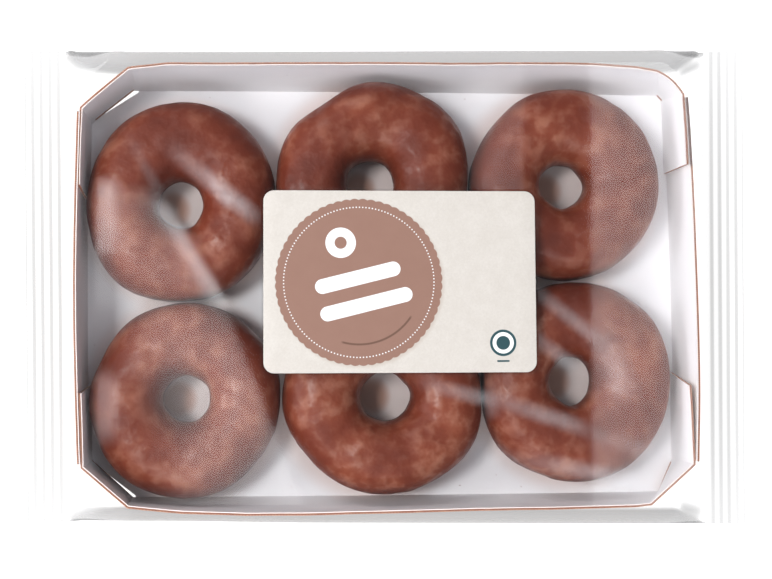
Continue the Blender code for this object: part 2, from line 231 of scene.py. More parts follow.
class Finish:
    """A material in the making, with the nodes that its patterns are written in."""

    def __init__(self, name):
        self.material = bpy.data.materials.new(name)
        self.material.use_nodes = True
        self.tree = self.material.node_tree
        self.shader = self.tree.nodes["Principled BSDF"]

    def node(self, kind, settings=None, sockets=None):
        """Adds a node: its settings first, then the values or links of its sockets."""
        node = self.tree.nodes.new(kind)
        for name, value in (settings or {}).items():
            if name == "stops":
                self.set_stops(node.color_ramp, value)
            else:
                setattr(node, name, value)
        for key, value in (sockets or {}).items():
            self.plug(node.inputs[key], value)
        return node

    def plug(self, socket, value):
        if isinstance(value, Value):
            value = value.socket
        if isinstance(value, bpy.types.NodeSocket):
            self.tree.links.new(value, socket)
        else:
            socket.default_value = value

    @staticmethod
    def set_stops(ramp, stops):
        while len(ramp.elements) < len(stops):
            ramp.elements.new(1.0)
        for element, (place, colour) in zip(ramp.elements, stops):
            element.position = place
            element.color = linear(colour)

    def math(self, operation, *values):
        node = self.node("ShaderNodeMath", {"operation": operation}, dict(enumerate(values)))
        return Value(self, node.outputs[0])

    def parts(self, vector):
        """The three parts of a vector."""
        node = self.node("ShaderNodeSeparateXYZ", sockets={0: vector})
        return [Value(self, output) for output in node.outputs]

    def length(self, across, along):
        """How long a step is, by its two parts."""
        return self.math("SQRT", across * across + along * along)

    def place(self):
        """X, Y and Z in the object's frame, in millimetres."""
        source = self.node("ShaderNodeTexCoord").outputs["Object"]
        return [part / MM for part in self.parts(source)]

    def surface_place(self):
        """The two coordinates that a piece's grid gave its surface."""
        source = self.node("ShaderNodeUVMap", {"uv_map": "surface"}).outputs[0]
        return self.parts(source)[:2]

    def moved(self, offset=(0, 0, 0), stretch=(1, 1, 1)):
        """The object's own coordinates, moved by metres and then stretched."""
        source = self.node("ShaderNodeTexCoord").outputs["Object"]
        return self.node("ShaderNodeMapping", {"vector_type": "POINT"},
                         {"Vector": source, "Location": offset, "Scale": stretch}).outputs[0]

    def noise(self, size_mm, detail, roughness, vector=None):
        """Cloudy noise from 0 to 1, whose patches are about as large as the size."""
        node = self.node("ShaderNodeTexNoise", None,
                         {"Vector": vector or self.moved(), "Scale": 1000.0 / size_mm,
                          "Detail": detail, "Roughness": roughness})
        return Value(self, node.outputs[0])

    def mix(self, factor, first, second):
        """Colour between the first and the second, which are links or levels of 0 to 255."""
        pair = [linear(part) if isinstance(part, tuple) else part for part in (first, second)]
        node = self.node("ShaderNodeMix", {"data_type": "RGBA"},
                         {0: factor, 6: pair[0], 7: pair[1]})
        return node.outputs[2]

    def ramp(self, value, stops):
        """Colour by a value: pairs of a place and levels of 0 to 255."""
        return self.node("ShaderNodeValToRGB", {"stops": stops}, {0: value}).outputs[0]

    def bump(self, height, distance, strength=1.0):
        """Relief: height from 0 to 1, and the distance in metres that 1 stands for."""
        node = self.node("ShaderNodeBump", None,
                         {"Height": height, "Distance": distance, "Strength": strength})
        self.plug(self.shader.inputs["Normal"], node.outputs[0])

    def set(self, **values):
        """Sets or links sockets of the shader: base_color stands for Base Color, and so on."""
        for name, value in values.items():
            if isinstance(value, tuple) and len(value) == 3:
                value = (*value, 1.0)
            socket = name.replace("_", " ").title().replace("Ior", "IOR")
            self.plug(self.shader.inputs[socket], value)
        return self.material


class Sky(Finish):
    """A sky in the making, written in the same way as a finish."""

    def __init__(self, name):
        self.world = bpy.data.worlds.new(name)
        self.world.use_nodes = True
        self.tree = self.world.node_tree
        self.shader = self.tree.nodes["Background"]


def linear(levels):
    """Colour levels of 0 to 255 as seen on a screen, as amounts of light and a full alpha."""
    shares = [level / 255 for level in levels]
    return (*(share / 12.92 if share <= 0.04045 else ((share + 0.055) / 1.055) ** 2.4
              for share in shares), 1.0)


def add_object(name, data):
    """A new object at the origin, in the scene."""
    thing = bpy.data.objects.new(name, data)
    bpy.context.scene.collection.objects.link(thing)
    return thing


# ---------------- mesh writing

def eased(share):
    """0 up to share 0, 1 from share 1, and the smooth step 3s^2 - 2s^3 between."""
    share = np.clip(share, 0, 1)
    return share * share * (3 - 2 * share)


def grid_faces(rows, columns, close_rows=False, close_columns=False):
    """Corner numbers of the quads of a grid, with its last row or column joined to the first."""
    row, column = np.meshgrid(np.arange(rows if close_rows else rows - 1),
                              np.arange(columns if close_columns else columns - 1), indexing="ij")
    next_row, next_column = (row + 1) % rows, (column + 1) % columns
    return np.stack([row * columns + column, next_row * columns + column,
                     next_row * columns + next_column, row * columns + next_column],
                    axis=-1).reshape(-1, 4)


def looks_inwards(points, quads):
    """True if the faces of a closed grid look inwards: the volume that they enclose, a third
    of the sum of each face's middle times its area, then comes out below zero."""
    corners = points[quads] - points.mean(axis=0)
    areas = np.cross(corners[:, 2] - corners[:, 0], corners[:, 3] - corners[:, 1])
    return (corners.mean(axis=1) * areas).sum() < 0


class Shell:
    """Points and faces of one piece, gathered from several grids, with a pair of coordinates
    for each corner of a face and a material for each face."""

    def __init__(self):
        self.points = []
        self.faces = []
        self.coords = []
        self.kinds = []
        self.count = 0

    def grid(self, points, coords, kinds=0, close_rows=False, close_columns=False, caps=None):
        """Adds a grid of points (rows, columns, 3). kinds is the material of its faces: one for
        all, one for each place in a row, or one for each face.

        caps are the materials of the flat ends that close the first and last row, or None.
        A closed piece is turned so that its faces look outwards.
        """
        rows, columns = points.shape[:2]
        faces = grid_faces(rows, columns, close_rows, close_columns)
        per_row = len(faces) // (rows if close_rows else rows - 1)
        inwards = looks_inwards(points.reshape(-1, 3), faces)
        faces = faces.tolist()
        flat = coords.reshape(-1, 2)
        pairs = [[tuple(flat[corner]) for corner in face] for face in faces]
        marks = np.broadcast_to(kinds, (len(faces) // per_row, per_row)).ravel().tolist()
        if caps is not None:
            first = list(range(columns))
            last = [(rows - 1) * columns + corner for corner in reversed(range(columns))]
            for cap, mark in zip((first, last), caps):
                faces.append(cap)
                pairs.append([tuple(flat[corner]) for corner in cap])
                marks.append(mark)
        if inwards:
            faces = [face[::-1] for face in faces]
            pairs = [pair[::-1] for pair in pairs]
        self.points.append(points.reshape(-1, 3))
        self.faces += [[corner + self.count for corner in face] for face in faces]
        self.coords += pairs
        self.kinds += marks
        self.count += rows * columns

    def make(self, name, materials, smooth_angle=None):
        mesh = bpy.data.meshes.new(name)
        mesh.from_pydata(np.concatenate(self.points).tolist(), [], self.faces)
        layer = mesh.uv_layers.new(name="surface")
        layer.data.foreach_set("uv", np.array([pair for face in self.coords for pair in face],
                                              dtype=np.float32).ravel())
        for material in materials:
            mesh.materials.append(material)
        mesh.polygons.foreach_set("material_index", np.array(self.kinds, dtype=np.int32))
        mesh.shade_smooth()
        if smooth_angle is not None:
            mesh.set_sharp_from_angle(angle=math.radians(smooth_angle))
        mesh.update()
        return add_object(name, mesh)


def outward(path):
    """Mitred outward steps of an open path that runs counter-clockwise, so that every side
    moves out by 1: the sum of the two sides' normals over 1 plus their product."""
    along = np.diff(path, axis=0)
    along /= np.linalg.norm(along, axis=1, keepdims=True)
    normals = np.stack([along[:, 1], -along[:, 0]], axis=1)
    before = np.vstack([normals[:1], normals])
    after = np.vstack([normals, normals[-1:]])
    return (before + after) / (1 + (before * after).sum(axis=1, keepdims=True))


def waves(points, seed, sizes, count=10):
    """Uneven relief from -1 to 1: the mean of plane waves of chance direction, length and phase."""
    rng = np.random.default_rng(seed)
    total = np.zeros(points.shape[:-1])
    for _ in range(count):
        direction = rng.normal(size=3)
        direction *= math.tau / (rng.uniform(*sizes) * np.linalg.norm(direction))
        total += np.sin(points @ direction + rng.uniform(0, math.tau))
    return total / math.sqrt(count)


# ---------------- rings

def signed_power(value, power):
    return np.copysign(np.abs(value) ** power, value)


def uneven_circle(turns, seed, strength):
    """Radius factors round a circle: 1 and a few low waves of chance size and phase."""
    rng = random.Random(seed)
    total = np.ones_like(turns)
    for order in (3, 4, 5, 7):
        size = strength * rng.uniform(0.4, 1.0) / order
        phase = rng.uniform(0, math.tau)
        total += size * np.cos(order * turns + phase)
    return total


def ring_outline(turns, size, offset, factors, bulges=()):
    """An uneven oval, with bell-shaped bulges, scaled to an exact size about its offset."""
    radius = factors.copy()
    for direction, height in bulges:
        apart = (np.degrees(turns) - direction + 180) % 360 - 180
        radius += 2 * height * MM / size[0] * np.exp(-(apart / BULGE_SPREAD) ** 2)
    points = radius[:, None] * np.stack([np.cos(turns), np.sin(turns)], axis=1)
    low, high = points.min(axis=0), points.max(axis=0)
    return ((points - low) / (high - low) - 0.5) * size + offset


def make_ring(number, material):
    """A glazed ring. Round the ring, turns choose a place on the hole's outline and the outer
    outline; round its section, turns choose the share between them and the height: a round
    crown above the widest line and a lower half that narrows to a flat foot. Low waves are
    then added along the radius and the height, and none at the foot.
    """
    node = RING_NODES[number - 1]
    low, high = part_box(node)
    hole_x, hole_y, shift_x, shift_y, seed = RING_HOLES[number - 1]
    centre = np.array((low.x + high.x, low.y + high.y)) / 2
    size = np.array((high.x - low.x, high.y - low.y))
    height = high.z - low.z
    turns = np.linspace(0, math.tau, RING_STEPS, endpoint=False)
    outer = ring_outline(turns, size, 0.0, uneven_circle(turns, seed, 0.02), BULGES[number - 1])
    inner = ring_outline(turns, np.array((hole_x, hole_y)) * MM, np.array((shift_x, shift_y)) * MM,
                         uneven_circle(turns, seed + 100, 0.06))
    rise = np.minimum(uneven_circle(turns, seed + 200, 0.06), 1.0)
    section = np.linspace(-0.5 * math.pi, 1.5 * math.pi, SECTION_STEPS, endpoint=False)
    level = signed_power(np.sin(section), CROWN_POWER)
    reach = signed_power(np.cos(section), BELLY_POWER)
    up = np.where(level >= 0, WIDEST_LEVEL + (1 - WIDEST_LEVEL) * level,
                  WIDEST_LEVEL * np.maximum(1 + FOOT_CUT * level, 0))
    narrow = (1 - FOOT_SHARE) * (1 - up / WIDEST_LEVEL) ** 2
    share = 0.5 + 0.5 * np.where(level >= 0, reach, reach * (1 - narrow))
    flat = inner[:, None] + (outer - inner)[:, None] * share[None, :, None] + centre
    tall = low.z + height * up * rise[:, None]
    points = np.concatenate([flat, tall[..., None]], axis=2)
    free = eased(up / 0.12)
    lumps = 0.28 * MM * waves(points, seed, (0.018, 0.040))
    lumps += 0.10 * MM * waves(points, seed + 1, (0.005, 0.010))
    away = points[..., :2] - centre - (inner + outer)[:, None] / 2
    away /= np.maximum(np.linalg.norm(away, axis=2, keepdims=True), 1e-6)
    relief = np.minimum(lumps, 0.12 * MM) * free
    points[..., :2] += away * (relief * np.abs(np.cos(section)))[..., None]
    points[..., 2] += relief * np.maximum(np.sin(section), 0)
    shares = np.linspace(0, 1, SECTION_STEPS)
    coords = np.stack(np.meshgrid(turns / math.tau, shares, indexing="ij"), axis=2)
    shell = Shell()
    shell.grid(points[:, ::-1], coords, close_rows=True, close_columns=True)
    ring = shell.make(f"glazed_ring_{number}", [material])
    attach(ring, BODY)
    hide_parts(node)
    return ring


# ---------------- tray

def corner_point(corner, level, side, inset=0.0):
    """A corner of the tray's inner outline at floor (0) or rim (1), on its end or its long wall.

    inset moves the end wall's corner along the clip, until it is that far from the end wall.
    """
    sx, sy = corner
    half_length, half_width = np.array(TRAY_HALF_SIZE[level]) * MM
    cut_x, cut_y = np.array(CORNER_CUTS[corner][level]) * MM
    on_end = np.array((sx * half_length, sy * (half_width - cut_y)))
    on_long = np.array((sx * (half_length - cut_x), sy * half_width))
    if side == "long":
        return on_long
    return on_end + (on_long - on_end) * inset / cut_x


def on_tray(points):
    """Points of the tray's plan, skewed and set in their place."""
    moved = points + TRAY_CENTRE
    moved[..., 0] += TRAY_SKEW * points[..., 1]
    return moved


def side(start, end, steps, bow=0.0):
    """Points from start to before end, bowed out to the right by 4t(1-t) times the bow."""
    share = np.arange(steps) / steps
    along = end - start
    out = np.array((along[1], -along[0])) / np.linalg.norm(along)
    return start + share[:, None] * along + (4 * share * (1 - share) * bow)[:, None] * out


def flap_end(corner, level):
    """Where a glued flap ends on its end wall, one board inside it."""
    sx, sy = corner
    length = CORNER_FLAPS[corner][1 - level] * MM
    lean = CORNER_FLAPS[corner][2] * MM * level
    start = corner_point(corner, level, "end")
    across = start[1] - sy * length
    bow = TRAY_BOW[level][0] * MM * (1 - (across / start[1]) ** 2)
    return np.array((start[0] + sx * (bow - BOARD - FLAP_GAP - lean), across))


def strip_path(sy, level):
    """Inner face of a long wall with its two clipped corners and its two flaps, in plan."""
    first, last = ((1, sy), (-1, sy)) if sy > 0 else ((-1, sy), (1, sy))
    points = [flap_end(first, level), corner_point(first, level, "end", BOARD),
              corner_point(first, level, "long"), corner_point(last, level, "long"),
              corner_point(last, level, "end", BOARD), flap_end(last, level)]
    bows = (0.1 * MM, CORNER_BOWS[first] * MM * level, TRAY_BOW[level][1] * MM,
            CORNER_BOWS[last] * MM * level, 0.1 * MM)
    steps = (12, 10, 120, 10, 12)
    path = [side(a, b, n, bow) for a, b, n, bow in zip(points, points[1:], steps, bows)]
    marks = np.repeat((0, 1, 2, 3, 4), steps)
    share = np.concatenate([np.arange(n) / n for n in steps])
    shares, sway = RIM_SWAY[sy]
    out = np.interp(share, shares, sway) * (marks == 2)
    out += share * sway[0] * (marks == 1) + (1 - share) * sway[-1] * (marks == 3)
    path = np.vstack(path + [points[-1][None]])
    path[:-1, 1] += sy * out * MM * level
    return path, np.append(marks, 4)


def wall_rows(inner_low, inner_high, drop, foot_lift):
    """Loop of a board wall for every place along its path: up the inner face, over the cut
    edge and down the outer face. A point's place in plan runs straight from the floor outline
    to the rim outline, the outer face is one board further out, and the top is drop lower.
    """
    out_low, out_high = outward(inner_low), outward(inner_high)
    heights = np.array((0.0, 0.012, 0.03, 0.07, 0.2, 0.4, 0.6, 0.8, 0.93, 0.985, 1.0))
    depths = np.array((0.04, 0.25, 0.5, 0.75, 0.96))
    loop = [(share, 0.0) for share in heights] + [(1.0, depth) for depth in depths]
    loop += [(share, 1.0) for share in heights[::-1]]
    base = TRAY_FLOOR + foot_lift
    length = np.concatenate([[0], np.cumsum(np.linalg.norm(np.diff(inner_high, axis=0), axis=1))])
    grid, coords = [], []
    for share, depth in loop:
        plan = (1 - share) * (inner_low + out_low * BOARD * depth)
        plan = plan + share * (inner_high + out_high * BOARD * depth)
        full = base + (TRAY_DEPTH - drop - foot_lift) * share + np.zeros(len(plan))
        if depth == 1.0:
            full = full - (base - TRAY_FLOOR + BOARD) * (1 - share)
        grid.append(np.column_stack([on_tray(plan), full]))
        up = share * TRAY_DEPTH if depth in (0.0, 1.0) else depth * BOARD
        coords.append(np.column_stack([length, np.full(len(length), up)]))
    kinds = [0] * (len(heights) - 1) + [1] * (len(depths) + 1) + [2] * (len(heights) - 1) + [2]
    return np.stack(grid, axis=1), np.stack(coords, axis=1), kinds


def warp_wall(points, seed, strength, curl):
    """Board is never quite flat: walls curl outwards half-way up by a sine, sway by low waves,
    and their cut rim wavers by finer ones.
    """
    height = (points[..., 2] - TRAY_FLOOR) / TRAY_DEPTH
    sway = strength * waves(points * (1, 1, 0.3), seed, (0.05, 0.14), 6)
    middle = np.array((*TRAY_CENTRE, 0.0))
    away = points - middle
    away[..., 2] = 0
    away /= np.linalg.norm(away, axis=-1, keepdims=True)
    swell = curl * np.sin(math.pi * np.clip(height, 0, 1))
    points += away * ((sway * eased(height * 1.5) + swell) * MM)[..., None]
    rim = 0.16 * MM * waves(points * (1, 1, 0), seed + 1, (0.006, 0.03), 8)
    points[..., 2] += (rim - 0.15 * MM) * eased((height - 0.9) / 0.1)
    return points


def add_strip(shell, sy, seed):
    """A long wall with its corners and flaps: one board, folded at four places. The foot of each
    clipped corner has the look of a cut edge."""
    low, marks = strip_path(sy, 0)
    high, _ = strip_path(sy, 1)
    is_flap = (marks == 0) | (marks == 4)
    is_clip = (marks == 1) | (marks == 3)
    drop = np.where(is_flap, FLAP_DROP, 0.0)
    lift = np.where(is_clip, 0.5 * MM, 0.12 * MM)
    points, coords, kinds = wall_rows(low, high, drop, lift)
    kinds = np.tile(kinds, (len(low) - 1, 1))
    clip_rows = is_clip[:-1] & is_clip[1:]
    kinds[clip_rows, :3] = 1
    curl = np.where(is_clip | is_flap, 0.2, 1.5)[:, None]
    shell.grid(warp_wall(points, seed, 0.35, curl), coords, kinds, close_columns=True, caps=(1, 1))


def add_end_wall(shell, sx, seed):
    """An end wall: one board between two clipped corners, bowed out in its middle."""
    corners = ((-1, 1), (-1, -1)) if sx < 0 else ((1, -1), (1, 1))
    paths = []
    for level in (0, 1):
        start, end = (corner_point(corner, level, "end") for corner in corners)
        bow = TRAY_BOW[level][0] + (RIGHT_RIM_BOW if sx > 0 else 0.0) * level
        path = side(start, end, 80, bow * MM)
        paths.append(np.vstack([path, end]))
    points, coords, kinds = wall_rows(paths[0], paths[1], 0.0, 0.12 * MM)
    kinds = [3 if kind == 1 else kind for kind in kinds]
    shell.grid(warp_wall(points, seed, 0.25, 0.3), coords, kinds, close_columns=True, caps=(3, 3))


def add_floor(shell):
    """The floor: concentric outlines from its middle to its edge on both faces.

    Beside two clipped corners it stays back from the wall, which leaves a slit.
    """
    corners = []
    for corner, order in (((1, 1), "el"), ((-1, 1), "le"), ((-1, -1), "el"), ((1, -1), "le")):
        on_end, on_long = corner_point(corner, 0, "end"), corner_point(corner, 0, "long")
        clip = np.abs(on_long - on_end)
        back = np.array(FLOOR_SLITS[corner]) * MM * np.linalg.norm(clip) / clip
        pair = [on_end - (0.0, corner[1] * back[0]), on_long - (corner[0] * back[1], 0.0)]
        corners += pair if order == "el" else pair[::-1]
    bows = [0.0, TRAY_BOW[0][1], 0.0, TRAY_BOW[0][0]] * 2
    outline = np.vstack([side(a, b, FLOOR_STEPS, bow * MM) for a, b, bow in
                         zip(corners, corners[1:] + corners[:1], bows)])
    closed = np.vstack([outline[-1:], outline, outline[:1]])
    edge = outward(closed)[1:-1] * (BOARD - 0.02 * MM)
    slit_side = np.zeros(len(outline), bool)
    for first in (2 * FLOOR_STEPS, 4 * FLOOR_STEPS):
        slit_side[first + 1:first + FLOOR_STEPS] = True
    edge[slit_side] = 0
    rings = [(outline * share, TRAY_FLOOR) for share in (0.02, 0.5, 0.9, 0.975, 1.0)]
    rings += [(outline + edge, TRAY_FLOOR - 0.02 * MM), (outline + edge, TRAY_FLOOR - BOARD)]
    rings += [(outline * share, TRAY_FLOOR - BOARD) for share in (1.0, 0.5, 0.02)]
    points = np.stack([np.column_stack([on_tray(plan), np.full(len(plan), level)])
                       for plan, level in rings], axis=0)
    coords = points[..., :2].copy()
    coords[5:7, :, 0] = np.arange(len(outline)) * 3 * MM
    coords[5, :, 1] = BOARD
    coords[6, :, 1] = 0.0
    kinds = np.repeat([0, 0, 0, 0, 0, 1, 2, 2, 2], len(outline)).reshape(9, -1)
    kinds[5, ~slit_side] = 0
    shell.grid(points, coords, kinds, close_columns=True, caps=(0, 2))


def make_tray(materials):
    shell = Shell()
    add_floor(shell)
    add_strip(shell, 1, 41)
    add_strip(shell, -1, 43)
    add_end_wall(shell, -1, 45)
    add_end_wall(shell, 1, 47)
    tray = shell.make("board_tray", materials, smooth_angle=25)
    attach(tray, BODY)
    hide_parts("tray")
    return tray


# ---------------- film

def film_stations():
    """Places along the pack, with how full the sleeve is there and how much of a crimp it is.

    From the tray's rim to the inner line of the crimp the fullness eases from 1 to 0.
    """
    inner = WRAP_HALF_LENGTH - CRIMP_WIDTH
    ends = (-WRAP_HALF_LENGTH, -inner, -WRAP_LEFT_EDGE, WRAP_RIGHT_EDGE, inner, WRAP_HALF_LENGTH)
    spans = zip(ends, ends[1:], (55, 11, 109, 11, 55))
    along = np.concatenate([ends[:1]] + [np.linspace(start, end, steps + 1)[1:]
                                         for start, end, steps in spans])
    edge = np.where(along < 0, WRAP_LEFT_EDGE, WRAP_RIGHT_EDGE)
    full = 1 - eased((np.abs(along) - edge) / (inner - edge))
    return along, full, inner


def make_film(material):
    """The sleeve of film: a closed loop carried along the pack. The loop is flat below, a
    quarter ellipse out to its widest line, a quarter ellipse back to the shoulder and flat
    above. Towards the ends the loop flattens into the crimp, whose ribs are a cosine along
    the pack. Low waves pull the skin inwards where nothing holds it.
    """
    along, full, inner = film_stations()
    quarter = np.linspace(0, 0.5 * math.pi, 13)
    across_top = np.linspace(1, 0, 24, endpoint=False)[1:]
    across_low = np.linspace(0, 1, 10)[:-1]
    full = full[:, None]
    ribs = RIB_HEIGHT * np.cos(math.tau * (CRIMP_OUTER_RIB - np.abs(along)) / CRIMP_PITCH)
    ribs = (ribs * (1 - full[:, 0]) * eased((np.abs(along) - inner) / (2 * MM)))[:, None]
    crimp = CRIMP_LEVEL + ribs
    low = (1 - full) * (crimp - HALF_CRIMP)
    high = full * WRAP_HEIGHT + (1 - full) * (crimp + HALF_CRIMP)
    wide = full * WRAP_WIDE_LEVEL + (1 - full) * crimp
    cut = WRAP_CORNER_CUT * eased((np.abs(along) - WRAP_CORNER_START)
                                  / (inner - WRAP_CORNER_START - 8 * MM))[:, None] * full
    shoulder = WRAP_SHOULDER - cut
    y_parts = [WRAP_FOOT * across_low + 0 * full,
               WRAP_FOOT + (WRAP_HALF_WIDTH - WRAP_FOOT) * np.sin(quarter) + 0 * full,
               shoulder + (WRAP_HALF_WIDTH - shoulder) * np.cos(quarter[1:]),
               shoulder * across_top]
    z_parts = [low + 0 * across_low, wide - (wide - low) * np.cos(quarter),
               wide + (high - wide) * np.sin(quarter[1:]), high + 0 * across_top]
    y_half, z_half = np.hstack(y_parts), np.hstack(z_parts)
    y = np.hstack([y_half, 0 * full, -y_half[:, :0:-1]])
    z = np.hstack([z_half, high, z_half[:, :0:-1]])
    beyond = np.clip((np.abs(y) - WRAP_SHOULDER) / (WRAP_HALF_WIDTH - WRAP_SHOULDER), 0, 1)
    near_edge = 0.3 * eased((np.abs(y) / MM - 90) / 10) + 0.7 * beyond
    x = along[:, None] * (1 + WRAP_SPREAD_ACROSS * y / WRAP_HALF_WIDTH)
    y = y * (1 + WRAP_SPREAD_ALONG * along[:, None] / WRAP_HALF_LENGTH)
    points = np.stack([x, y, z], axis=2)
    sag = 0.5 * waves(points * (1, 0.5, 0.5), 71, (0.05, 0.12), 7)
    sag += 0.25 * waves(points, 73, (0.02, 0.05), 8)
    slack = np.where(y > 0, *(np.interp(along / MM, *EDGE_SLACK[sy])[:, None] for sy in (1, -1)))
    points[..., 1] -= np.where(y > 0, 1, -1) * (slack + 0.06 * sag * full) * near_edge * MM
    turns = np.linspace(0, 1, y.shape[1])
    coords = np.stack(np.broadcast_arrays(along[:, None], turns), axis=2)
    shell = Shell()
    shell.grid(points, coords, close_columns=True, caps=(0, 0))
    film = shell.make("clear_film", [material])
    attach(film, BODY)
    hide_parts("film_wrap")
    return film


# ---------------- label

def make_label(material):
    """A rounded rectangle of paper with a soft edge: outlines that shrink towards the middle."""
    low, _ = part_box("label")
    quarter = np.linspace(0, 0.5 * math.pi, CORNER_STEPS)
    turns = np.concatenate([quarter + 0.5 * math.pi * corner for corner in range(4)])
    signs = np.repeat([(1, 1), (-1, 1), (-1, -1), (1, -1)], CORNER_STEPS, axis=0)
    half = np.array(LABEL_SIZE) / 2
    loops = []
    for inset, rise in LABEL_PROFILE:
        radius = max(LABEL_CORNER - inset * MM, 0.3 * MM)
        centre = signs * (half - inset * MM - radius)
        plan = centre + radius * np.stack([np.cos(turns), np.sin(turns)], axis=1)
        level = np.full(len(turns), low.z + rise * MM)
        loops.append(np.column_stack([plan + LABEL_CENTRE, level]))
    points = np.stack(loops, axis=0)
    shell = Shell()
    shell.grid(points, points[..., :2], close_columns=True, caps=(0, 0))
    label = shell.make("paper_label", [material], smooth_angle=50)
    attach(label, BODY)
    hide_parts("label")
    return label


# ---------------- finishes

def glaze_finish(number):
    """Cocoa glaze: a brown ground, lighter patches in soft clouds that are partly the glaze's own
    mottling and partly painted sheen, small flecks, painted shade darker towards the foot, and a
    satin gloss that low lumps break up."""
    finish = Finish(f"cocoa_glaze_{number}")
    shift = finish.moved(offset=(0.37 * number, 0.19 * number, 0.11 * number))
    height = finish.place()[2]
    clouds = finish.noise(26, 2, 0.5, shift)
    spots = finish.noise(11, 3, 0.5, shift)
    lumps = finish.noise(5.5, 3, 0.5, shift)
    grain = finish.noise(0.7, 2, 0.6, shift)
    tone = clouds * 0.7 + spots * 0.3
    ground = finish.ramp(tone, ((0.32, (90, 33, 17)), (0.46, (105, 42, 23)),
                                (0.60, (121, 55, 34)), (0.78, (146, 82, 58))))
    patches = spots * 0.5 + lumps * 0.5
    # Lighter patches: partly the glaze's own mottling, partly painted sheen.
    bloom_and_sheen = patches.fade(0.40, 0.70) * clouds.fade(0.36, 0.62)
    colour = finish.mix(bloom_and_sheen * 0.31, ground, (174, 122, 98))
    colour = finish.mix(grain.fade(0.62, 0.8) * 0.25, colour, (76, 28, 14))
    # Painted shade: darker towards the foot.
    colour = finish.mix(height.fade(27.0, 14.0) * 0.55, colour, (60, 24, 16))
    gloss = 0.42 - (tone - 0.5) * 0.5
    finish.set(base_color=colour, roughness=gloss, specular_ior_level=0.24, ior=1.46,
               coat_weight=patches.fade(0.48, 0.60) * 0.22, coat_roughness=0.30)
    finish.bump(clouds * 0.2 + spots * 0.45 + lumps * 0.35, 1.6 * MM, 0.7)
    return finish.material


def liner_finish():
    """White liner of the board: faint fibres, slight clouds and a few brown specks, with painted
    bounce light, pinkish, low down near the rings, and painted brown shade on the floor under their
    holes."""
    finish = Finish("white_liner")
    x, y, z = finish.place()
    fibre = finish.noise(2.2, 4, 0.65, finish.moved(stretch=(1.0, 3.0, 1.0)))
    cloud = finish.noise(38, 3, 0.5)
    speck = finish.noise(1.4, 1, 0.4).fade(0.79, 0.83)
    stops = ((0.30, (245, 245, 247)), (0.55, (249, 248, 250)),
             (0.72, (252, 251, 252)))
    white = finish.ramp(cloud * 0.6 + fibre * 0.4, stops)
    colour = finish.mix(speck * 0.5, white, (150, 116, 100))
    painted_bounce, hole_shade = 0.0, 0.0
    for node, (_, _, shift_x, shift_y, _) in zip(RING_NODES, RING_HOLES):
        low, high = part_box(node)
        mid_x, mid_y = (low.x + high.x) / (2 * MM), (low.y + high.y) / (2 * MM)
        dx = (x - mid_x) / ((high.x - low.x) / (2 * MM))
        dy = (y - mid_y) / ((high.y - low.y) / (2 * MM))
        # Painted bounce light: a pinkish glow on the floor round each ring, kept low down.
        painted_bounce = painted_bounce + (1 - (dx * dx + dy * dy).fade(0.9, 1.45))
        # Painted shade: a brown disc on the floor under each hole, 5 mm to the left, on its shaded
        # side.
        dx, dy = x - (mid_x + shift_x - 5.0), y - (mid_y + shift_y)
        hole_shade = hole_shade + (1 - (dx * dx + dy * dy).fade(16.0, 100.0))
    low_down = 1 - z.fade(3.0, 26.0)
    painted_bounce_share = finish.math("MINIMUM", painted_bounce * low_down, 1.0) * 0.55
    colour = finish.mix(painted_bounce_share, colour, (226, 196, 184))
    colour = finish.mix(hole_shade * 0.85, colour, (204, 150, 124))
    finish.set(base_color=colour, roughness=0.62, ior=1.45)
    finish.bump(fibre * 0.4 + cloud * 0.6, 0.5 * MM, 0.25)
    return finish.material


def edge_finish(name, pitch, dark):
    """Cut edge of corrugated board: a white liner inside, a brown one outside, and between them a
    wavy flute whose open ends show as dark dots at every pitch (mm), painted shade inside the open
    flutes. The last argument, from 0 to 1, is how deep they look, and how dark the painted shade in
    the gap behind the far flap of the right wall is."""
    finish = Finish(name)
    along, depth = (part / MM for part in finish.surface_place())
    wave = finish.math("SINE", along * (math.tau / pitch))
    flute = 1 - abs(depth - 0.80 - wave * 0.22).fade(0.10, 0.26)
    # Painted shade: dark dots inside the open flutes.
    dots = wave.fade(-0.2, 0.7) * (1 - abs(depth - 0.75).fade(0.32, 0.46))
    liner = 1 - depth.fade(0.34, 0.46)
    ragged = finish.noise(3.5, 3, 0.6)
    brown = finish.mix(ragged, (150, 84, 58), (214, 164, 134))
    colour = finish.mix(flute * (1 - dark), brown, (104, 52, 36))
    colour = finish.mix(dots * dark, colour, (58, 28, 20))
    colour = finish.mix(liner, colour, (244, 238, 235))
    x, y, _ = finish.place()
    # Painted shade: the gap behind the far flap of the right wall, drawn dark.
    gap = x.fade(120.0, 124.0) * y.fade(50.0, 53.0) * y.fade(83.5, 81.5)
    colour = finish.mix(gap * dark * 0.9, colour, (52, 24, 18))
    finish.set(base_color=colour, roughness=0.85)
    finish.bump(flute, 0.3 * MM, 0.6)
    return finish.material


def kraft_finish():
    """Plain brown outside of the board, with the flutes showing faintly through."""
    finish = Finish("kraft_outside")
    x, y, _ = finish.place()
    fibre = finish.noise(1.8, 4, 0.7, finish.moved(stretch=(1.0, 1.0, 2.5)))
    ribs = finish.math("SINE", (x + y) * (math.tau / 1.9))
    brown = finish.mix(fibre, (150, 112, 80), (196, 158, 122))
    finish.set(base_color=brown, roughness=0.8)
    finish.bump(ribs * 0.5 + fibre, 0.08 * MM, 0.6)
    return finish.material


